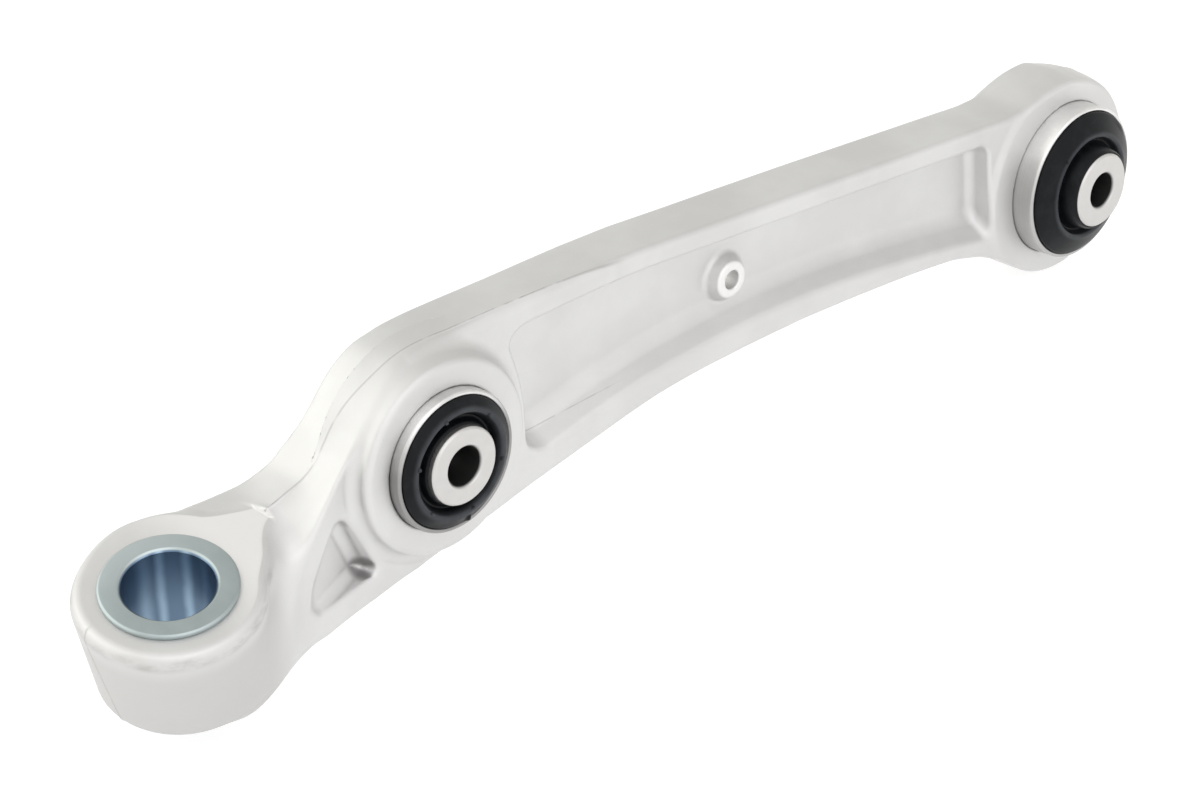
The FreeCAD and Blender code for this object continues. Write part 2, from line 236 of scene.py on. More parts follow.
def knuckle_eye(x, y, z):
    """The eye round the sleeve: a drafted barrel, narrower at its foot."""
    h, across, along, up = sleeve_frame(x, y, z)
    low = np.clip((TAPER_FROM_H - h) / TAPER_SPAN, 0, 1)
    radius = np.sqrt((across - EYE_SHIFT_X * low) ** 2 + (along + EYE_SHIFT_Y * low) ** 2
                     + up ** 2)
    turn = np.degrees(np.arctan2(along, across))
    back = np.exp(-((turn - BACK_SWELL_AT) / BACK_SWELL_WIDE) ** 2)
    wall = (radius - (EYE_R - EYE_TAPER * low + BACK_SWELL * back)) * 0.994
    body = round_max(wall, h - RAW_TOP_H, EYE_RIM - BACK_RIM_LESS * back)
    return round_max(body, -SLEEVE_HALF - h, FOOT_ROUND)


WEB_HALF = 2.0
WEB_FILLET = 3.2            # where the pocket's walls meet the web
PAD_R = 30.0                # pad round the damper bush
PAD_FRONT_Y, PAD_BACK_Y = -17.5, 11.1
PAD_DRAFT = 0.30
EYE_CROWN = 2.1             # the inner eye's wall is crowned by this much, most at the top
EYE_CROWN_REACH = 13.0
EYE_SINK = 1.0              # the inner eye's faces lie below the beam's
WALL_DRAFT = 0.13           # slopes of the long pocket's walls
LOW_WALL_DRAFT = 0.75
POCKET_FROM_X, POCKET_TO_X = 120.5, 342.5
POCKET_CLEAR_R = 34.2       # the pocket's left end runs round the damper bush at this radius
SMALL_DRAFT = 0.25          # the small pocket's walls, and more on its right wall
SMALL_RIGHT_DRAFT = 0.2
SMALL_MOUTH_Y = 13.0
SMALL_FLOOR_Y, SMALL_FLOOR_FALL = 4.6, 0.31
NECK_BLEND, BACK_BLEND_LESS = 15.0, 10.5    # fillet from the eye to the neck, less behind
PARTING_WIDE = 0.38
PARTING_HIGH = 0.2


def long_pocket(x, z, depth, damper_r):
    """Distance to the pocket between the web and the flanges; depth is from the middle."""
    draft = WALL_DRAFT * (BEAM_HALF - depth)
    floor_draft = LOW_WALL_DRAFT * (BEAM_HALF - depth)
    outline = round_max(z - POCKET_TOP_Z(x) + draft,
                        (POCKET_LOW_Z(x) - z + floor_draft) * 0.80, 0.5)
    outline = round_max(outline, POCKET_CLEAR_R - damper_r + draft, 7.5)
    outline = round_max(outline, POCKET_FROM_X - 0.15 * (z - 30) - x, 11.0)
    outline = round_max(outline, x - POCKET_TO_X + 0.05 * (z - 10) + draft, 4.5)
    outline = np.maximum(outline, DAMPER_X - x)
    return round_max(outline, WEB_HALF - depth, WEB_FILLET)


def small_pocket(x, z, depth):
    """Distance to the three-cornered pocket in the neck, beside the damper bush."""
    left = -(x - 38.6) * 0.83 + (z + 1.0) * 0.555
    right = (x - 60.2) * 0.90 + (z - 4.5) * 0.436
    toe = 38.0 - x
    low = -(z + 9.6) + 0.06 * (x - 50)
    outline = round_max(left, right + SMALL_RIGHT_DRAFT * (SMALL_MOUTH_Y - depth), 6.5)
    outline = round_max(round_max(outline, toe, 2.5), low, 4.0)
    outline = outline + SMALL_DRAFT * (SMALL_MOUTH_Y - depth)
    floor = SMALL_FLOOR_Y + SMALL_FLOOR_FALL * (62 - x)
    return round_max(outline, floor - depth, 3.0)


def web_boss(y, boss_r):
    """Low cone on the front of the web."""
    cone = (boss_r - BOSS_R + 0.5 * (BOSS_FACE_Y - y)) * 0.894
    return np.maximum(round_max(cone, BOSS_FACE_Y - y, 0.7), y)


def forging(x, y, z, parting_line=0.0):
    """Distance to the forging's surface, negative inside."""
    h, across, along, up = sleeve_frame(x, y, z)
    axis_r = np.sqrt(across ** 2 + along ** 2 + up ** 2)
    inner_r = np.hypot(x - INNER_X, z)
    damper_r = np.hypot(x - DAMPER_X, z - DAMPER_Z)
    boss_r = np.hypot(x - BOSS_X, z - BOSS_Z)

    # beam, inner eye and neck, with a tighter edge along the neck
    crown = EYE_CROWN * (1 - (y / EYE_CROWN_REACH) ** 2) * ease(z, -15, 20)
    long = round_min(bar(x, y, z), inner_r - INNER_EYE_R - crown, 5.0)
    sunk = EYE_SINK * ease(inner_r, 41.0, 36.5)
    side = np.maximum(-y - SIDE_Y(x), y - BACK_Y(x)) - sunk
    edge = 1.9 + 1.6 * ease(x, 38, 25) - 0.7 * ease(x, 38, 44) * ease(x, 86, 78)
    arm = round_max(long, side, edge)
    blend = NECK_BLEND - BACK_BLEND_LESS * ease(y, 1, 12)
    body = round_min(arm, knuckle_eye(x, y, z), blend)
    if parting_line:
        offset = (y - parting_at(x, z)) / PARTING_WIDE
        keep = ease(x, 166, 150) + ease(x, 388, 396)
        body = body - parting_line * keep * np.exp(-offset * offset)

    pad_wall = damper_r - PAD_R - PAD_DRAFT * (y - PAD_FRONT_Y) * (y < 0)
    pad = round_max(pad_wall * 0.96, np.maximum(PAD_FRONT_Y - y, y - PAD_BACK_Y), 1.6)
    body = round_min(body, pad, 3.0)

    # the same pockets front and back, and the boss on the front of the web
    depth = np.abs(y)
    body = round_max(body, -long_pocket(x, z, depth, damper_r), 1.3)
    body = round_max(body, -small_pocket(x, z, depth), 1.2)
    body = round_min(body, web_boss(y, boss_r), 1.2)

    # machining: the face under the flange, the bores and the bush seats
    mill = round_max(EYE_TOP_H - h, axis_r - MILL_R, 1.0)
    body = round_max(body, -mill, 0.8)
    for bore, soft in ((axis_r - SLEEVE_BODY_R, 0.3), (damper_r - DAMPER_CAN_R, 0.6),
                       (inner_r - INNER_CAN_R, 0.6), (boss_r - BOSS_HOLE_R, 0.5)):
        body = round_max(body, -bore, soft)
    return body


# ---- meshing -------------------------------------------------------------------------
def slope_of(field, points, reach=0.12):
    """Gradient of a field at points, by central differences."""
    columns = []
    for axis in range(3):
        step = np.zeros(3)
        step[axis] = reach
        ahead = field(*(points + step).T)
        behind = field(*(points - step).T)
        columns.append((ahead - behind) / (2 * reach))
    return np.stack(columns, 1)


def settle(field, points, rounds=3, limit=0.6):
    """Moves points onto the field's zero surface."""
    for _ in range(rounds):
        value = field(*points.T)
        slope = slope_of(field, points)
        scale = value / np.maximum((slope ** 2).sum(1), 0.2)
        points = points - np.clip(scale, -limit, limit)[:, None] * slope
    return points


def skin(field, low, high, step):
    """Vertices and four-sided faces of a field's zero surface on a regular grid."""
    axes = [np.arange(a, b + step, step) for a, b in zip(low, high)]
    shape = tuple(len(a) for a in axes)
    values = np.empty(shape, np.float32)
    for i, x in enumerate(axes[0]):
        y, z = np.meshgrid(axes[1], axes[2], indexing="ij")
        values[i] = field(np.full_like(y, x), y, z)
    strides = np.array([shape[1] * shape[2], shape[2], 1])
    inside = values < 0
    owners, sums, rings = [], [], []
    for axis in range(3):
        first = [slice(None)] * 3
        second = [slice(None)] * 3
        first[axis] = slice(0, -1)
        second[axis] = slice(1, None)
        cross = inside[tuple(first)] != inside[tuple(second)]
        at = np.argwhere(cross)
        a = values[tuple(first)][cross].astype(float)
        b = values[tuple(second)][cross].astype(float)
        point = at.astype(float)
        point[:, axis] += a / (a - b)
        u, v = (axis + 1) % 3, (axis + 2) % 3
        ring = []
        for du, dv in ((0, 0), (-1, 0), (-1, -1), (0, -1)):
            cell = at.copy()
            cell[:, u] += du
            cell[:, v] += dv
            flat = cell @ strides
            ring.append(flat)
            owners.append(flat)
            sums.append(point)
        ring = np.stack(ring, 1)
        outward = ~inside[tuple(first)][cross]
        ring[outward] = ring[outward][:, ::-1]
        rings.append(ring)
    cells, index = np.unique(np.concatenate(owners), return_inverse=True)
    point = np.concatenate(sums)
    count = np.bincount(index)
    vertices = np.stack([np.bincount(index, point[:, k]) / count for k in range(3)], 1)
    vertices = vertices * step + np.array([a[0] for a in axes])
    faces = np.searchsorted(cells, np.concatenate(rings))
    return vertices, faces


def mesh_object(name, vertices, faces, body):
    """A smooth-shaded piece from points in millimetres, riding on a body."""
    mesh = bpy.data.meshes.new(name)
    mesh.from_pydata((vertices * MM).tolist(), [], faces)
    mesh.validate()
    mesh.polygons.foreach_set("use_smooth", [True] * len(mesh.polygons))
    piece = bpy.data.objects.new(name, mesh)
    bpy.context.scene.collection.objects.link(piece)
    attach(piece, body)
    return piece


GRID_STEP = 0.85
GRID_LOW, GRID_HIGH = (-32, -36, -40), (420, 34, 60)
HOLLOW_REACH = 6.0          # how far out from the skin a hollow is felt for


def forging_piece():
    """Meshes the forging, finer along the parting line and the milled face's edge."""
    points, faces = skin(forging, GRID_LOW, GRID_HIGH, GRID_STEP)
    points = settle(forging, points)
    mesh = bpy.data.meshes.new("draft")
    mesh.from_pydata(points.tolist(), [], faces.tolist())
    work = bmesh.new()
    work.from_mesh(mesh)

    def milled_edge(spot):
        """Whether a spot is by the rim or the run-out of the milled face."""
        h, across, along, up = sleeve_frame(*spot)
        away = math.sqrt(across ** 2 + along ** 2 + up ** 2)
        return abs(h - EYE_TOP_H) < 1.5 and 22 < away < 44

    def near_line(reach):
        """Edges by the parting line; the wide reach takes in the milled face's edge."""
        found = []
        for edge in work.edges:
            a, b = edge.verts[0].co, edge.verts[1].co
            x = 0.5 * (a.x + b.x)
            if NECK_END_X <= x <= EYE_START_X or abs(a.y) > 11 and x > 60:
                continue
            if reach > 1 and milled_edge(a):
                found.append(edge)
                continue
            middle = parting_at(x, 0.5 * (a.z + b.z))
            if min(abs(a.y - middle), abs(b.y - middle)) < reach:
                found.append(edge)
        return found

    for reach in (1.3, 0.8):
        bmesh.ops.subdivide_edges(work, edges=near_line(reach), cuts=1, use_grid_fill=True)
    bmesh.ops.triangulate(work, faces=[f for f in work.faces if len(f.verts) > 4])
    work.to_mesh(mesh)
    work.free()

    def finished(x, y, z):
        return forging(x, y, z, PARTING_HIGH)

    points = np.empty(len(mesh.vertices) * 3)
    mesh.vertices.foreach_get("co", points)
    points = settle(finished, points.reshape(-1, 3), 2)
    normals = slope_of(finished, points)
    normals /= np.linalg.norm(normals, axis=1)[:, None]
    faces = [tuple(p.vertices) for p in mesh.polygons]
    piece = mesh_object("forging", points, faces, "arm")
    bpy.data.meshes.remove(mesh)
    if len(piece.data.vertices) == len(normals):
        piece.data.normals_split_custom_set_from_vertices(normals.tolist())
    # how far each spot is from the parting line, and how deep it sits in a hollow, for the
    # painted shade in the neck's corners
    apart = points[:, 1] - parting_at(points[:, 0], points[:, 2])
    room = forging(*(points + HOLLOW_REACH * normals).T) / HOLLOW_REACH
    for title, value in (("parting", apart), ("hollow_shade", np.clip(1 - room, 0, 1))):
        layer = piece.data.attributes.new(title, "FLOAT", "POINT")
        layer.data.foreach_set("value", value.astype(np.float32))
    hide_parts("arm_forging")
    return piece


# ---- turned pieces -------------------------------------------------------------------
def rounded(corners, steps=5):
    """Closed profile with each corner rounded: corners are (radius, along, rounding)."""
    out = []
    count = len(corners)
    for i, (r, a, rounding) in enumerate(corners):
        here = np.array([r, a], float)
        before = np.array(corners[i - 1][:2], float) - here
        after = np.array(corners[(i + 1) % count][:2], float) - here
        reach = min(rounding, 0.48 * np.linalg.norm(before), 0.48 * np.linalg.norm(after))
        if reach < 1e-4:
            out.append(here)
            continue
        start = here + before / np.linalg.norm(before) * reach
        end = here + after / np.linalg.norm(after) * reach
        for t in np.linspace(0, 1, steps):
            out.append((1 - t) ** 2 * start + 2 * t * (1 - t) * here + t * t * end)
    return np.array(out)


def lathe(profile, centre, axis, segments):
    """Turns a closed (radius, along) profile about an axis.  Returns vertices and faces."""
    axis = np.array(axis, float) / np.linalg.norm(axis)
    helper = np.array([1.0, 0, 0]) if abs(axis[0]) < 0.9 else np.array([0, 0, 1.0])
    across = np.cross(axis, helper)
    across /= np.linalg.norm(across)
    third = np.cross(axis, across)
    turn = np.arange(segments) * 2 * math.pi / segments
    vertices = []
    for angle in turn:
        outward = across * math.cos(angle) + third * math.sin(angle)
        vertices.append(np.array(centre) + profile[:, :1] * outward + profile[:, 1:] * axis)
    vertices = np.concatenate(vertices)
    count = len(profile)
    area = 0.5 * np.sum(profile[:, 0] * np.roll(profile[:, 1], -1)
                        - np.roll(profile[:, 0], -1) * profile[:, 1])
    faces = []
    for s in range(segments):
        a, b = s * count, (s + 1) % segments * count
        for i in range(count):
            j = (i + 1) % count
            quad = (a + i, a + j, b + j, b + i)
            faces.append(quad if area > 0 else quad[::-1])
    return vertices, faces


def shade_by_angle(piece, degrees=32):
    """Keeps tight corners crisp while round walls shade smoothly."""
    mesh = piece.data
    work = bmesh.new()
    work.from_mesh(mesh)
    bmesh.ops.recalc_face_normals(work, faces=work.faces)
    limit = math.radians(degrees)
    for edge in work.edges:
        if len(edge.link_faces) == 2 and edge.calc_face_angle(0) > limit:
            edge.smooth = False
    work.to_mesh(mesh)
    work.free()
    mesh.polygons.foreach_set("use_smooth", [True] * len(mesh.polygons))


def knuckle_sleeve():
    """Flanged sleeve that is pressed into the knuckle eye from above."""
    end, bore, body = SLEEVE_HALF, SLEEVE_BORE_R, SLEEVE_BODY_R
    under = end - FLANGE_THICK
    profile = rounded([
        (bore, -end + 0.9, 0.3), (bore + 0.9, -end, 0.2), (body - 0.4, -end, 0.2),
        (body, -end + 0.4, 0.2), (body, under, 0.0), (FLANGE_R - 0.25, under, 0.15),
        (FLANGE_R, under + 0.3, 0.2), (FLANGE_R, end - 0.55, 0.3), (FLANGE_R - 0.6, end, 0.3),
        (bore + 0.95, end, 0.25), (bore, end - 0.95, 0.3)])
    vertices, faces = lathe(profile, SLEEVE_CENTRE, SLEEVE_AXIS, 240)
    piece = mesh_object("knuckle_sleeve_turned", vertices, faces, "arm")
    shade_by_angle(piece)
    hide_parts("knuckle_sleeve")
    return piece


def both_ends(half):
    """Closes a profile of one end with its mirror image."""
    return half + [(r, -a, c) for r, a, c in reversed(half)]


def bush_can(name, centre, radius, length, node):
    """Steel outer ring of a bush."""
    end, inside = length / 2, radius - CAN_WALL
    half = [(inside, end - 0.35, 0.15), (inside + 0.35, end, 0.2), (radius - 0.55, end, 0.25),
            (radius, end - 0.55, 0.3), (radius, end - 2.4, 0.0)]
    vertices, faces = lathe(rounded(both_ends(half), 4), centre, ACROSS, 240)
    piece = mesh_object(name, vertices, faces, "arm")
    shade_by_angle(piece)
    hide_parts(node)
    return piece


def bush_tube(name, centre, radius, length, body, node):
    """Thick tube in the middle of a bush, which the bolt clamps."""
    end = length / 2
    half = [(BOLT_HOLE_R, end - 0.8, 0.3), (BOLT_HOLE_R + 0.8, end, 0.25),
            (radius - 0.7, end, 0.3), (radius, end - 0.7, 0.3), (radius, BULGE_FOOT, 0.8),
            (radius + TUBE_BULGE, BULGE_TOP, 1.0)]
    vertices, faces = lathe(rounded(both_ends(half)), centre, ACROSS, 200)
    piece = mesh_object(name, vertices, faces, body)
    shade_by_angle(piece)
    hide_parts(node)
    return piece


def rubber(name, centre, half_face, tube_r, nubs, flash, node):
    """Moulded rubber: the face profile, small moulding nubs and a torn flash at the rim.

    A nub is (degrees, radius, along, size); a flash is (degrees, width in degrees, height).
    """
    inside = tube_r + TURNING_GAP
    waist = [(inside, BULGE_FOOT, 0.0), (inside + TUBE_BULGE, BULGE_TOP, 0.0)]
    profile = rounded(both_ends(half_face + waist), 7)
    vertices, faces = lathe(profile, centre, ACROSS, 288)
    offset = vertices - np.array(centre)
    angle = np.degrees(np.arctan2(offset[:, 2], offset[:, 0]))
    radius = np.hypot(offset[:, 0], offset[:, 2])
    front = offset[:, 1] < 0
    end = max(a for _, a, _ in half_face)
    # slow unevenness of the moulded face
    lift = 0.10 * np.sin(np.radians(angle) * 3 + radius) * np.cos(np.radians(angle) * 7)
    lift *= ease(radius, inside + 0.6, inside + 2.0)
    lift *= ease(np.abs(offset[:, 1]), end - 5, end - 3)
    for where, wide, out in flash:
        apart = np.abs((angle - where + 180) % 360 - 180)
        lift += np.where(front, out * np.exp(-(apart / wide) ** 2)
                         * ease(radius, half_face[0][0] - 2.6, half_face[0][0] - 1.0), 0)
    vertices[:, 1] += np.where(front, -lift, lift)
    piece = mesh_object(name, vertices, faces, "arm")
    shade_by_angle(piece, 50)
    nub_mesh = bmesh.new()
    nub_mesh.from_mesh(piece.data)
    for where, nub_r, along, size in nubs:
        turn = math.radians(where)
        spot = Vector((centre[0] + nub_r * math.cos(turn), centre[1] + along,
                       centre[2] + nub_r * math.sin(turn))) * MM
        made = bmesh.ops.create_icosphere(nub_mesh, subdivisions=2, radius=size * MM)
        squeeze = Matrix.Rotation(-turn, 4, "Y") @ Matrix.Diagonal((0.8, 1.3, 1.0, 1.0))
        bmesh.ops.transform(nub_mesh, matrix=Matrix.Translation(spot) @ squeeze,
                            verts=made["verts"])
        for vertex in made["verts"]:
            for face in vertex.link_faces:
                face.smooth = True
    nub_mesh.to_mesh(piece.data)
    nub_mesh.free()
    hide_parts(node)
    return piece


# ---- finishes ------------------------------------------------------------------------
class Value:
    """A socket of a finish's node tree that takes part in sums."""

    def __init__(self, finish, socket):
        self.finish = finish
        self.socket = socket

    def math(self, operation, *others):
        return self.finish.node("ShaderNodeMath", dict(enumerate((self, *others))),
                                operation=operation)

    def __add__(self, other):
        return self.math("ADD", other)

    def __radd__(self, other):
        return self.math("ADD", other)

    def __sub__(self, other):
        return self.math("SUBTRACT", other)

    def __rsub__(self, other):
        return self.math("MULTIPLY_ADD", -1.0, other)

    def __mul__(self, other):
        return self.math("MULTIPLY", other)

    def __rmul__(self, other):
        return self.math("MULTIPLY", other)

    def __truediv__(self, other):
        return self.math("DIVIDE", other)

    def between(self, low, high):
        """0 at low, 1 at high, with a smooth turn between them."""
        return self.finish.node("ShaderNodeMapRange", {"Value": self, 1: low, 2: high},
                                interpolation_type="SMOOTHSTEP")


class Graph:
    """A node tree and the tools to wire it."""

    def __init__(self, tree, place):
        self.tree = tree
        self.place = self.node("ShaderNodeTexCoord", output=place)

    def node(self, kind, values=None, output=0, **settings):
        """Adds a node: its settings first, then the values or links of its sockets."""
        made = self.tree.nodes.new(kind)
        for key, setting in settings.items():
            setattr(made, key, setting)
        for key, value in (values or {}).items():
            self.feed(made.inputs[key], value)
        return Value(self, made.outputs[output])

    def feed(self, socket, value):
        if isinstance(value, Value):
            self.tree.links.new(value.socket, socket)
        else:
            socket.default_value = value

    def noise(self, size, detail=3.0, rough=0.55, stretch=(1, 1, 1)):
        """Noise whose largest cells are about size millimetres."""
        spot = self.node("ShaderNodeMapping", {"Vector": self.place,
                                               "Scale": tuple(1.0 / s for s in stretch)})
        return self.node("ShaderNodeTexNoise", {"Vector": spot, "Scale": 1.0 / (size * MM),
                                                "Detail": detail, "Roughness": rough})

    def blend(self, factor, first, second):
        """First colour at factor 0, second at factor 1."""
        return self.node("ShaderNodeMix", {0: factor, 6: first, 7: second}, output=2,
                         data_type="RGBA")

    def bump(self, height, depth, strength):
        """Bump of depth millimetres."""
        return self.node("ShaderNodeBump", {"Height": height, "Distance": depth * MM,
                                            "Strength": strength})

    def parts_of(self, vector):
        """X, Y and Z of a vector."""
        split = self.tree.nodes.new("ShaderNodeSeparateXYZ")
        self.feed(split.inputs[0], vector)
        return [Value(self, s) for s in split.outputs]

    def from_axis(self, centre, axis):
        """Distance along an axis and away from it, in millimetres."""
        spot = self.node("ShaderNodeVectorMath", {0: self.place,
                                                  1: tuple(c * MM for c in centre)},
                         operation="SUBTRACT")
        turn = Vector(axis).to_track_quat("Z", "Y").inverted().to_euler()
        spot = self.node("ShaderNodeVectorRotate", {"Vector": spot, "Rotation": tuple(turn)},
                         rotation_type="EULER_XYZ")
        x, y, z = self.parts_of(spot)
        away = self.node("ShaderNodeMath", {0: x * x + y * y}, operation="SQRT")
        return z / MM, away / MM


class Finish(Graph):
    """One material."""

    def __init__(self, name, metallic):
        self.material = bpy.data.materials.new(name)
        self.material.use_nodes = True
        self.material.node_tree.nodes.clear()
        super().__init__(self.material.node_tree, "Object")
        self.shader = self.tree.nodes.new("ShaderNodeBsdfPrincipled")
        self.set("Metallic", metallic)
        out = self.tree.nodes.new("ShaderNodeOutputMaterial")
        self.tree.links.new(self.shader.outputs[0], out.inputs["Surface"])

    def set(self, name, value):
        self.feed(self.shader.inputs[name], value)


def grey(value, warm):
    """A grey that leans a little towards yellow."""
    return (value * (1 + warm), value, value * (1 - warm), 1.0)


def forged_finish():
    """Blasted aluminium forging: fine grain, faint blotches, and painted shade below the eye's
    rim, on its lower wall and in the neck's inside corners.
    """
    f = Finish("forged_aluminium", 0.95)
    cloud = f.noise(38, 4, 0.6)
    grain = f.noise(0.55, 3, 0.7)
    pits = f.noise(2.6, 3, 0.6)
    tone = f.blend(cloud.between(0.35, 0.68), grey(0.645, 0.006), grey(0.695, 0.002))
    smear = f.noise(9, 5, 0.65, stretch=(2.5, 1, 0.8)).between(0.58, 0.78)
    tone = f.blend(smear * 0.35, tone, grey(0.66, 0.02))
    h, away = f.from_axis(SLEEVE_CENTRE, SLEEVE_AXIS)
    # painted shade in a band below the knuckle eye's rim, broken up by noise, and on the eye's
    # lower wall
    rim_shade_band = h.between(10.5, 13.5) * (1 - h.between(14.6, 16.4)) * (1 - away.between(28, 32))
    rim_shade_marks = f.noise(6, 4, 0.6, stretch=(1.8, 1.8, 0.7)).between(0.38, 0.72)
    tone = f.blend(rim_shade_band * (rim_shade_marks * 0.46 + 0.12), tone, grey(0.36, 0.03))
    # painted shade: the eye's lower wall is darker, made uneven by the cloud noise
    lower_wall_shade = (1 - h.between(6, 15)) * (1 - away.between(27, 34))
    tone = f.blend(lower_wall_shade * (cloud * 0.6 + 0.35), tone, grey(0.52, 0.012))
    # dark, broken parting line in the neck
    line = f.node("ShaderNodeAttribute", output="Fac", attribute_name="parting")
    x, y = f.parts_of(f.place)[:2]
    near = 1 - line.math("ABSOLUTE").between(0.10, 0.42)
    reach = 1 - (x / MM).between(160, 172)
    breaks = f.noise(7, 2, 0.5).between(0.30, 0.5)
    raw = 1 - h.between(16.4, 16.8) * (1 - away.between(38, 38.6))
    tone = f.blend(near * reach * breaks * raw * 0.5, tone, grey(0.38, 0.02))
    # painted shade in the inside corners of the neck, from how deep each spot sits in a hollow
    hollow_shade = f.node("ShaderNodeAttribute", output="Fac", attribute_name="hollow_shade")
    tone = f.blend(hollow_shade.between(0.05, 0.62) * (1 - (x / MM).between(92, 100)) * 0.85, tone,
                   grey(0.27, 0.01))
    # bright machined places: the face under the flange and the web boss
    milled = 1 - (h - EYE_TOP_H).math("ABSOLUTE").between(0.03, 0.12)
    milled = milled * (1 - away.between(38, 39)) * (x / MM).between(0, 22)
    boss_away = f.from_axis((BOSS_X, 0, BOSS_Z), ACROSS)[1]
    boss = (1 - boss_away.between(6.4, 7.0)) * (1 - (y / MM).between(-6.3, -5.6))
    tone = f.blend(milled * 0.9 + boss * 0.8, tone, grey(0.83, 0.008))
    f.set("Base Color", tone)
    f.set("Roughness", 0.48 + cloud * 0.10 + smear * 0.05)
    f.set("Normal", f.bump(grain + pits * 0.8, 0.05, 0.55))
    return f.material


ACROSS_BORE = (0.722, -0.683, -0.081)
# painted reflection streaks in the bore: place in bore radii, half width and strength
BORE_REFLECTIONS = ((-0.60, 0.20, 0.55), (-0.27, 0.15, 0.75), (0.30, 0.17, 0.75), (0.70, 0.14, 0.25))


def zinc_finish():
    """Blue-passivated zinc plating, with painted shade and painted reflection streaks in the bore
    and a painted lighter back on the flange.
    """
    f = Finish("zinc_plating", 1.0)
    away = f.from_axis(SLEEVE_CENTRE, SLEEVE_AXIS)[1]
    inside = 1 - away.between(SLEEVE_BORE_R + 0.25, SLEEVE_BORE_R + 0.6)
    cloud = f.noise(7, 4, 0.6)
    flange = f.blend(cloud, (0.35, 0.405, 0.41, 1), (0.45, 0.51, 0.515, 1))
    y = f.parts_of(f.place)[1]
    # painted light: the flange is lighter towards its back
    flange = f.blend((y / MM).between(-8, 20) * 0.7, flange, (0.58, 0.645, 0.655, 1))
    # painted reflections: upright light streaks at fixed places across the bore, over a dark
    # painted shade
    side = f.node("ShaderNodeVectorMath", {0: f.place, 1: ACROSS_BORE}, output=1,
                  operation="DOT_PRODUCT") / (SLEEVE_BORE_R * MM)
    uneven = f.noise(9, 2, 0.5) * 0.08
    reflection_streak = 0.0
    for centre, wide, strength in BORE_REFLECTIONS:
        apart = (side + uneven - centre).math("ABSOLUTE")
        reflection_streak = (1 - apart.between(0.0, wide)) * strength + reflection_streak
    bore = f.blend(reflection_streak, (0.14, 0.21, 0.30, 1), (0.38, 0.52, 0.66, 1))
    f.set("Base Color", f.blend(inside, flange, bore))
    f.set("Roughness", 0.30 + cloud * 0.10 + inside * 0.04)
    rings = f.node("ShaderNodeMath", {0: away * 14.0 + cloud * 1.5}, operation="SINE")
    f.set("Normal", f.bump(rings + f.noise(0.6, 2) * 1.2, 0.008, 0.6))
    return f.material


def can_finish(name, centre, radius, low, high):
    """Turned steel ring with fine marks round it, and a painted highlight on top."""
    f = Finish(name, 1.0)
    along = f.from_axis(centre, ACROSS)[0]
    lines = f.node("ShaderNodeTexNoise", {"W": along * 2.6, "Scale": 1.0, "Detail": 3.0},
                   noise_dimensions="1D")
    cloud = f.noise(9, 4, 0.6, stretch=(1, 2, 1))
    tone = f.blend(lines * 0.5 + cloud * 0.5, grey(low, 0.01), grey(high, 0.008))
    z = f.parts_of(f.place)[2]
    # painted highlight: the top of the ring is lighter, made uneven by the cloud noise
    top_highlight = ((z / MM - centre[2]) / radius).between(0.1, 0.95)
    f.set("Base Color", f.blend(top_highlight * (cloud * 0.8 + 0.3), tone, grey(0.92, 0.004)))
    f.set("Roughness", 0.30 + cloud * 0.14)
    f.set("Normal", f.bump(lines, 0.05, 0.6))
    return f.material


def rubber_finish(name, centre, ridge_r):
    """Black moulded rubber, with a painted highlight along its ridge."""
    f = Finish(name, 0.0)
    dust = f.noise(5, 5, 0.65)
    grain = f.noise(0.7, 3, 0.6)
    away = f.from_axis(centre, ACROSS)[1]
    # painted highlight along the moulded ridge, made uneven by the dust noise
    ridge = 1 - (away - ridge_r).math("ABSOLUTE").between(0.3, 1.8)
    black = f.blend(dust.between(0.4, 0.75), (0.003, 0.0038, 0.005, 1),
                    (0.008, 0.009, 0.011, 1))
    f.set("Base Color", f.blend(ridge * (dust * 0.8 + 0.3), black, (0.052, 0.057, 0.064, 1)))
    f.set("Roughness", 0.30 + dust * 0.16)
    f.set("Specular IOR Level", 0.16)
    f.set("Normal", f.bump(grain + dust, 0.03, 0.5))
    return f.material


def tube_finish(name, centre):
    """Faced aluminium tube: fine rings on the face, satin wall, painted shade in the bolt hole.
    """
    f = Finish(name, 1.0)
    away = f.from_axis(centre, ACROSS)[1]
    rings = f.node("ShaderNodeMath", {0: away * 16.0}, operation="SINE")
    cloud = f.noise(4, 4, 0.6)
    # painted shade inside the bolt hole
    bolt_hole_shade = 1 - away.between(BOLT_HOLE_R + 0.05, BOLT_HOLE_R + 0.65)
    face = f.blend(cloud, grey(0.55, 0.02), grey(0.64, 0.014))
    f.set("Base Color", f.blend(bolt_hole_shade, face, grey(0.16, 0.01)))
    f.set("Roughness", 0.36 + cloud * 0.12)
    f.set("Normal", f.bump(rings + f.noise(0.5, 2), 0.010, 0.6))
    return f.material


def paint(piece, material):
    """Gives a piece its one material."""
    piece.data.materials.clear()
    piece.data.materials.append(material)


# ---- the arm -------------------------------------------------------------------------
paint(forging_piece(), forged_finish())
paint(knuckle_sleeve(), zinc_finish())

damper_can = bush_can("damper_bush_ring", DAMPER, DAMPER_CAN_R, DAMPER_CAN_LENGTH,
                      "damper_bush_can")
paint(damper_can, can_finish("damper_ring_steel", DAMPER, DAMPER_CAN_R, 0.22, 0.40))
inner_can = bush_can("inner_bush_ring", INNER, INNER_CAN_R, INNER_CAN_LENGTH,
                     "inner_bush_can")
paint(inner_can, can_finish("inner_ring_steel", INNER, INNER_CAN_R, 0.36, 0.58))

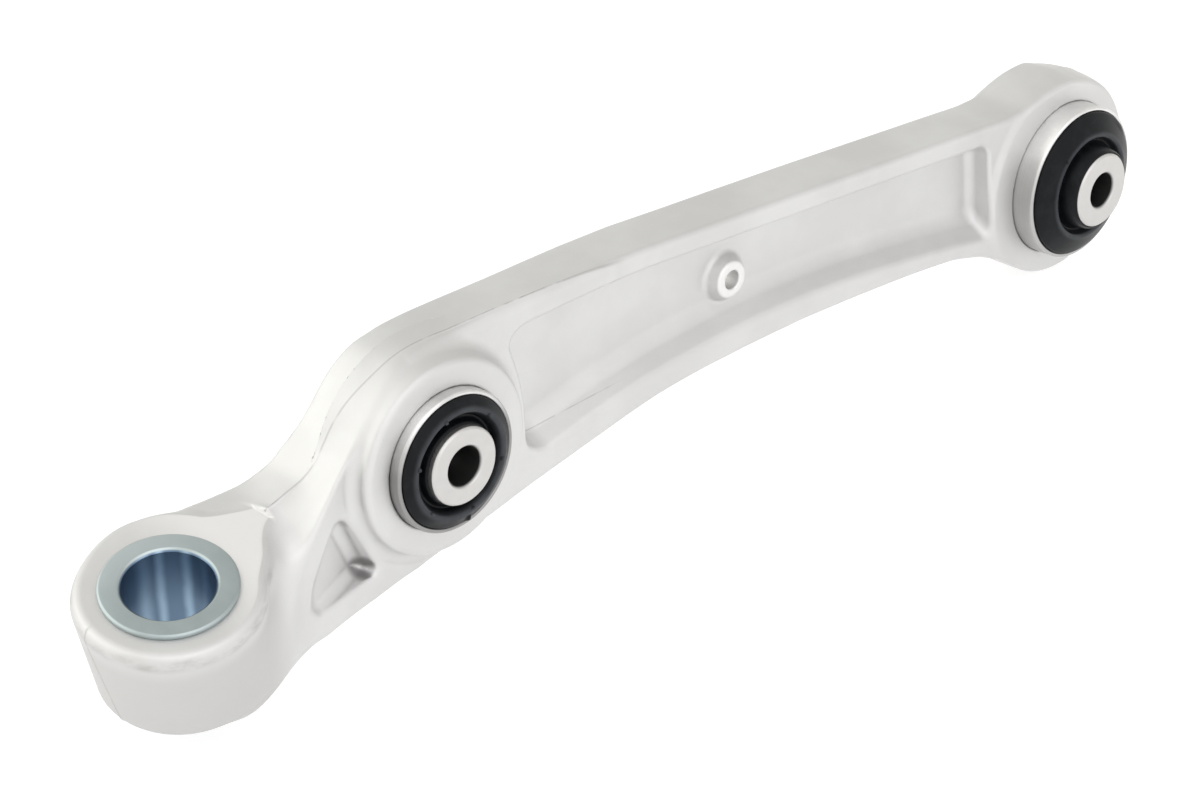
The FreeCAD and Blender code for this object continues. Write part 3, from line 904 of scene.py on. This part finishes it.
# the rubber's face from the ring in to the tube, as (radius, along, rounding)
damper_face = [(20.5, 17.2, 0.3), (20.4, 18.1, 0.5), (18.6, 19.2, 1.0), (17.4, 20.0, 0.7),
               (16.0, 20.0, 0.8), (15.2, 18.3, 0.8), (14.4, 16.6, 0.9), (13.4, 16.9, 0.6),
               (12.9, 19.0, 0.4), (12.22, 19.6, 0.2)]
damper_nubs = [(angle, 16.3, -19.9, 0.7) for angle in (105, 43, -18, -79, -138, 161)]
damper_rubber = rubber("damper_bush_rubber_moulded", DAMPER, damper_face, DAMPER_TUBE_R,
                       damper_nubs, [(-84, 2.5, 1.0), (142, 2.0, 0.5)],
                       "damper_bush_rubber")
inner_face = [(25.8, 18.8, 0.3), (25.7, 20.2, 0.6), (23.4, 21.6, 1.2), (20.2, 23.2, 1.0),
              (18.8, 23.9, 0.6), (17.6, 23.6, 0.8), (17.0, 21.6, 0.8), (16.2, 20.8, 0.8),
              (15.2, 22.0, 0.8), (14.3, 27.2, 0.8), (13.7, 28.2, 0.3), (13.22, 28.2, 0.1)]
inner_nubs = [(134, 19.4, -23.2, 0.75)]
inner_rubber = rubber("inner_bush_rubber_moulded", INNER, inner_face, INNER_TUBE_R,
                      inner_nubs, [(38, 9.0, 0.35)], "inner_bush_rubber")
paint(damper_rubber, rubber_finish("damper_rubber", DAMPER, 16.6))
paint(inner_rubber, rubber_finish("inner_rubber", INNER, 18.3))

damper_tube = bush_tube("damper_bush_tube", DAMPER, DAMPER_TUBE_R, DAMPER_TUBE_LENGTH,
                        "damper_sleeve", "damper_bush_sleeve")
paint(damper_tube, tube_finish("damper_tube_metal", DAMPER))
inner_tube = bush_tube("inner_bush_tube", INNER, INNER_TUBE_R, INNER_TUBE_LENGTH,
                       "inner_sleeve", "inner_bush_sleeve")
paint(inner_tube, tube_finish("inner_tube_metal", INNER))


# ---- floor, light and camera ---------------------------------------------------------
def bright_sky(scene):
    """An even pale sky, brighter behind on the left and in front."""
    world = bpy.data.worlds.new("studio")
    world.use_nodes = True
    sky = Graph(world.node_tree, "Generated")

    def glow(towards, low, high):
        """Smooth brightening of the sky round one direction."""
        facing = sky.node("ShaderNodeVectorMath", {0: sky.place, 1: Vector(towards).normalized()},
                          output=1, operation="DOT_PRODUCT")
        return facing.between(low, high)

    tone = sky.blend(glow((0, 0, 1), -0.1, 0.9), (0.90, 0.895, 0.86, 1), (0.78, 0.775, 0.75, 1))
    tone = sky.blend(glow((-0.62, 0.60, 0.50), 0.45, 1.0), tone, (1.75, 1.75, 1.68, 1))
    tone = sky.blend(glow((-0.1, -0.8, 0.6), 0.5, 1.0), tone, (1.35, 1.33, 1.34, 1))
    sky.feed(world.node_tree.nodes["Background"].inputs["Color"], tone)
    scene.world = world


def pale_floor(scene):
    """A plain floor just below the arm."""
    floor_mesh = bpy.data.meshes.new("floor")
    wide, gap = 6.0, 0.004
    low = cad_low.z - gap
    floor_mesh.from_pydata([(-wide, -wide, low), (wide, -wide, low), (wide, wide, low),
                            (-wide, wide, low)], [], [(0, 1, 2, 3)])
    floor = bpy.data.objects.new("floor", floor_mesh)
    scene.collection.objects.link(floor)
    pale = Finish("pale_floor", 0.0)
    pale.set("Base Color", (0.45, 0.45, 0.45, 1))
    pale.set("Roughness", 0.9)
    pale.set("Emission Color", (1, 1, 1, 1))
    pale.set("Emission Strength", 0.66)
    paint(floor, pale.material)


def softbox(scene):
    """One soft lamp in front of the arm and above it."""
    lamp = bpy.data.lights.new("softbox", "AREA")
    lamp.size = 1.6
    lamp.energy = 3
    holder = bpy.data.objects.new("softbox", lamp)
    holder.location = (-0.3, -1.4, 1.3)
    towards = Vector((0.19, 0, 0)) - holder.location
    holder.rotation_euler = towards.to_track_quat("-Z", "Y").to_euler()
    scene.collection.objects.link(holder)


def main_camera(scene):
    """A long lens above the knuckle end, looking down along the arm."""
    camera = bpy.data.cameras.new("camera")
    camera.lens = 88.47
    camera.sensor_width = 36.0
    camera.clip_start, camera.clip_end = 0.05, 50
    holder = bpy.data.objects.new("camera", camera)
    right = Vector((0.713275, -0.699312, -0.046923))
    up = Vector((0.382139, 0.331900, 0.862445))
    back = right.cross(up)
    turn = Matrix((right, up, back)).transposed().to_4x4()
    holder.matrix_world = Matrix.Translation((-0.370604, -0.578004, 0.460437)) @ turn
    scene.collection.objects.link(holder)
    scene.camera = holder


stage = bpy.context.scene
stage.view_settings.view_transform = "Standard"
bright_sky(stage)
pale_floor(stage)
softbox(stage)
main_camera(stage)
bpy.context.view_layer.update()
